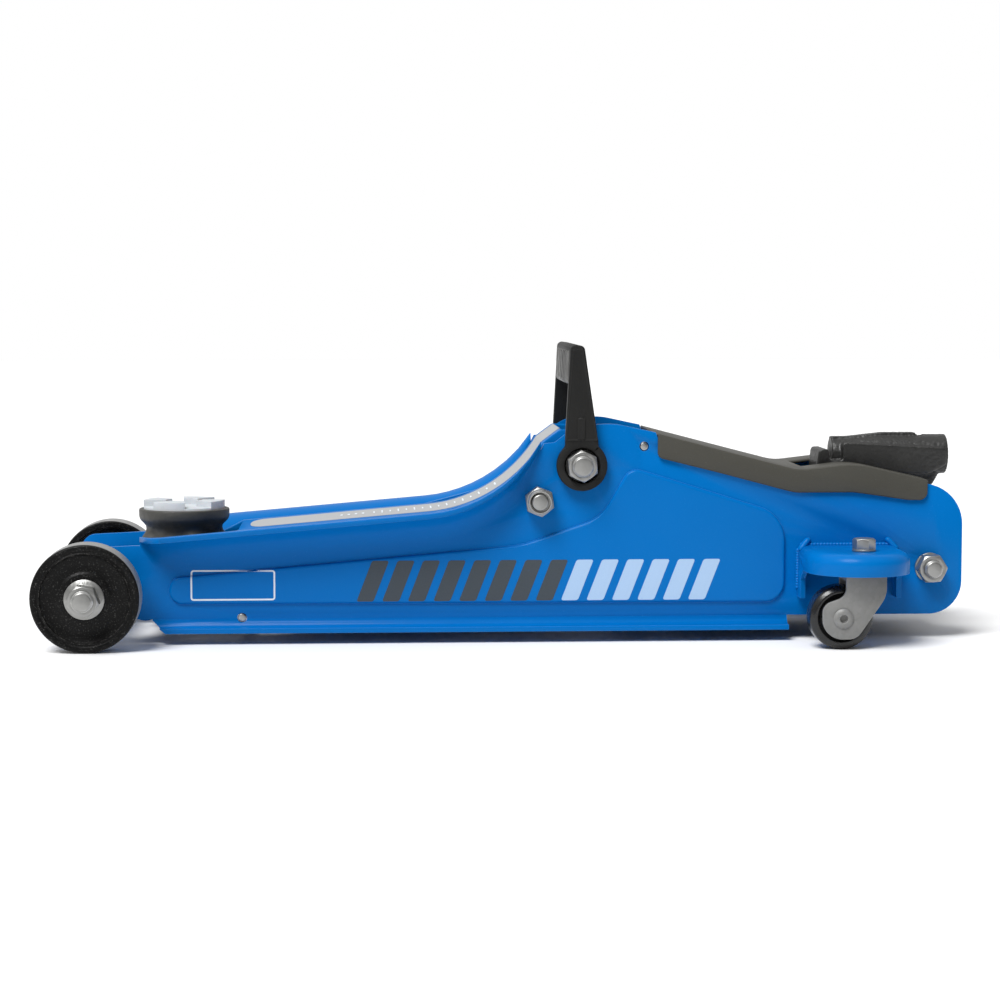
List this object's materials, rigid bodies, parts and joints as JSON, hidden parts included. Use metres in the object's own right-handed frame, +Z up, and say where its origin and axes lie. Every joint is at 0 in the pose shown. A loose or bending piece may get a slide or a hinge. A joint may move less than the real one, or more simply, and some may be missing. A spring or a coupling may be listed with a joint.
{
  "type": "trolley jack",
  "caption": "Low-entry hydraulic trolley jack: two pressed side plates, a lift arm with a turning saddle, front wheels, rear castors, carry handle and handle socket.",
  "frame": {"origin": "on the floor under the middle of the jack", "axes": "+X from the saddle end towards the handle socket, +Y to the right-hand side, +Z up"},
  "size_m": [0.558, 0.216, 0.1788],
  "materials": {
    "blue_paint": "smooth gloss powder coat",
    "black_paint": "semi-gloss cast finish",
    "wheel_black": "speckled satin black",
    "bright_zinc": "zinc plated",
    "grey_zinc": "dull zinc plated",
    "dark_cast": "rough cast",
    "pad_rubber": "satin moulded",
    "castor_tread": "moulded",
    "black_plastic": "fine grain moulded",
    "cover_grey": "fine grain moulded",
    "machined_steel": "ground",
    "chrome_rod": "hard chrome",
    "spring_steel": "oiled",
    "red_plug": "satin"
  },
  "bodies": {
    "chassis": {"side_plate_left": "blue_paint", "side_plate_right": "blue_paint", "castor_bracket_left": "blue_paint", "castor_bracket_right": "blue_paint", "castor_bolts": "bright_zinc", "castor_washers": "bright_zinc", "castor_bearings": "grey_zinc", "front_axle": "bright_zinc", "front_axle_nuts": "bright_zinc", "front_wheel_spacers": "bright_zinc", "front_cross_tube": "blue_paint", "main_pivot_bolt": "bright_zinc", "main_pivot_nuts": "bright_zinc", "handle_bushes": "machined_steel", "link_anchor_bolts": "bright_zinc", "link_anchor_nuts": "bright_zinc", "rear_tie_bolt": "bright_zinc", "rear_tie_washers": "bright_zinc", "rear_tie_nuts": "bright_zinc", "front_stay_pin": "machined_steel", "spring_anchor_rod": "machined_steel", "rear_cover": "cover_grey", "hydraulic_block": "black_paint", "socket_pivot_pin": "machined_steel", "reservoir_tube": "black_paint", "cylinder_tube": "machined_steel", "gland_nut": "machined_steel", "filler_plug": "red_plug", "pump_barrel": "machined_steel", "pump_spring": "spring_steel", "return_spring_left": "spring_steel", "return_spring_right": "spring_steel"},
    "lift_arm": {"lift_arm": "blue_paint", "arm_pivot_sleeve": "machined_steel", "ram_pin": "machined_steel"},
    "saddle_yoke": {"saddle_yoke": "dark_cast", "saddle_pivot_pins": "machined_steel", "link_pin": "machined_steel"},
    "saddle": {"saddle_cup": "dark_cast", "saddle_pad": "pad_rubber", "saddle_clip": "spring_steel"},
    "radius_rods": {"radius_rod_left": "blue_paint", "radius_rod_right": "blue_paint"},
    "ram": {"ram": "chrome_rod"},
    "front_wheel_left": {"front_wheel_left": "wheel_black"},
    "front_wheel_right": {"front_wheel_right": "wheel_black"},
    "castor_left": {"castor_fork_left": "grey_zinc", "castor_axle_left": "grey_zinc"},
    "castor_right": {"castor_fork_right": "grey_zinc", "castor_axle_right": "grey_zinc"},
    "castor_wheel_left": {"castor_wheel_left": "castor_tread"},
    "castor_wheel_right": {"castor_wheel_right": "castor_tread"},
    "carry_handle": {"carry_handle": "black_plastic"},
    "handle_socket": {"handle_socket": "black_paint", "pump_roller": "machined_steel", "roller_pin": "machined_steel"},
    "pump_plunger": {"pump_plunger": "chrome_rod"},
    "release_valve": {"release_valve": "machined_steel"}
  },
  "joints": [
    {"name": "arm_lift", "type": "hinge", "parent": "chassis", "child": "lift_arm", "pos_m": [0.0465, 0, 0.1065], "axis": [0, 1, 0], "range_deg": [0, 63.5], "deforming": ["return_spring_left", "return_spring_right"]},
    {"name": "yoke_level", "type": "hinge", "parent": "lift_arm", "child": "saddle_yoke", "pos_m": [-0.19, 0, 0.044], "axis": [0, 1, 0], "range_deg": [-64, 0]},
    {"name": "saddle_turn", "type": "hinge", "parent": "saddle_yoke", "child": "saddle", "pos_m": [-0.1947, 0, 0.07], "axis": [0, 0, 1], "continuous": true},
    {"name": "rods_swing", "type": "hinge", "parent": "chassis", "child": "radius_rods", "pos_m": [0.021, 0, 0.085], "axis": [0, 1, 0], "range_deg": [0, 64]},
    {"name": "ram_slide", "type": "slide", "parent": "chassis", "child": "ram", "axis": [-1, 0, 0], "range_m": [0, 0.05834]},
    {"name": "front_wheel_left_spin", "type": "hinge", "parent": "chassis", "child": "front_wheel_left", "pos_m": [-0.247, 0, 0.032], "axis": [0, 1, 0], "continuous": true},
    {"name": "front_wheel_right_spin", "type": "hinge", "parent": "chassis", "child": "front_wheel_right", "pos_m": [-0.247, 0, 0.032], "axis": [0, 1, 0], "continuous": true},
    {"name": "castor_left_swivel", "type": "hinge", "parent": "chassis", "child": "castor_left", "pos_m": [0.211, -0.084, 0.04], "axis": [0, 0, 1], "continuous": true},
    {"name": "castor_right_swivel", "type": "hinge", "parent": "chassis", "child": "castor_right", "pos_m": [0.211, 0.084, 0.04], "axis": [0, 0, 1], "continuous": true},
    {"name": "castor_wheel_left_spin", "type": "hinge", "parent": "castor_left", "child": "castor_wheel_left", "pos_m": [0.197, -0.084, 0.019], "axis": [0, 1, 0], "continuous": true},
    {"name": "castor_wheel_right_spin", "type": "hinge", "parent": "castor_right", "child": "castor_wheel_right", "pos_m": [0.197, 0.084, 0.019], "axis": [0, 1, 0], "continuous": true},
    {"name": "carry_handle_fold", "type": "hinge", "parent": "chassis", "child": "carry_handle", "pos_m": [0.0465, 0, 0.1065], "axis": [0, 1, 0], "range_deg": [-25, 50]},
    {"name": "socket_pump", "type": "hinge", "parent": "chassis", "child": "handle_socket", "pos_m": [0.204, 0, 0.093], "axis": [0, -1, 0], "range_deg": [0, 45]},
    {"name": "plunger_slide", "type": "slide", "parent": "chassis", "child": "pump_plunger", "axis": [0, 0, 1], "range_m": [0, 0.0199], "deforming": ["pump_spring"]},
    {"name": "release_turn", "type": "hinge", "parent": "chassis", "child": "release_valve", "pos_m": [0.244, 0, 0.07], "axis": [0, 0, 1], "range_deg": [0, 180]}
  ],
  "couplings": [
    {"joint": "yoke_level", "follows": "arm_lift", "ratio": -1},
    {"joint": "rods_swing", "follows": "arm_lift", "ratio": 1},
    {"joint": "ram_slide", "follows": "arm_lift", "m_per_rad": 0.05219},
    {"joint": "plunger_slide", "follows": "socket_pump", "m_per_rad": 0.02496}
  ]
}
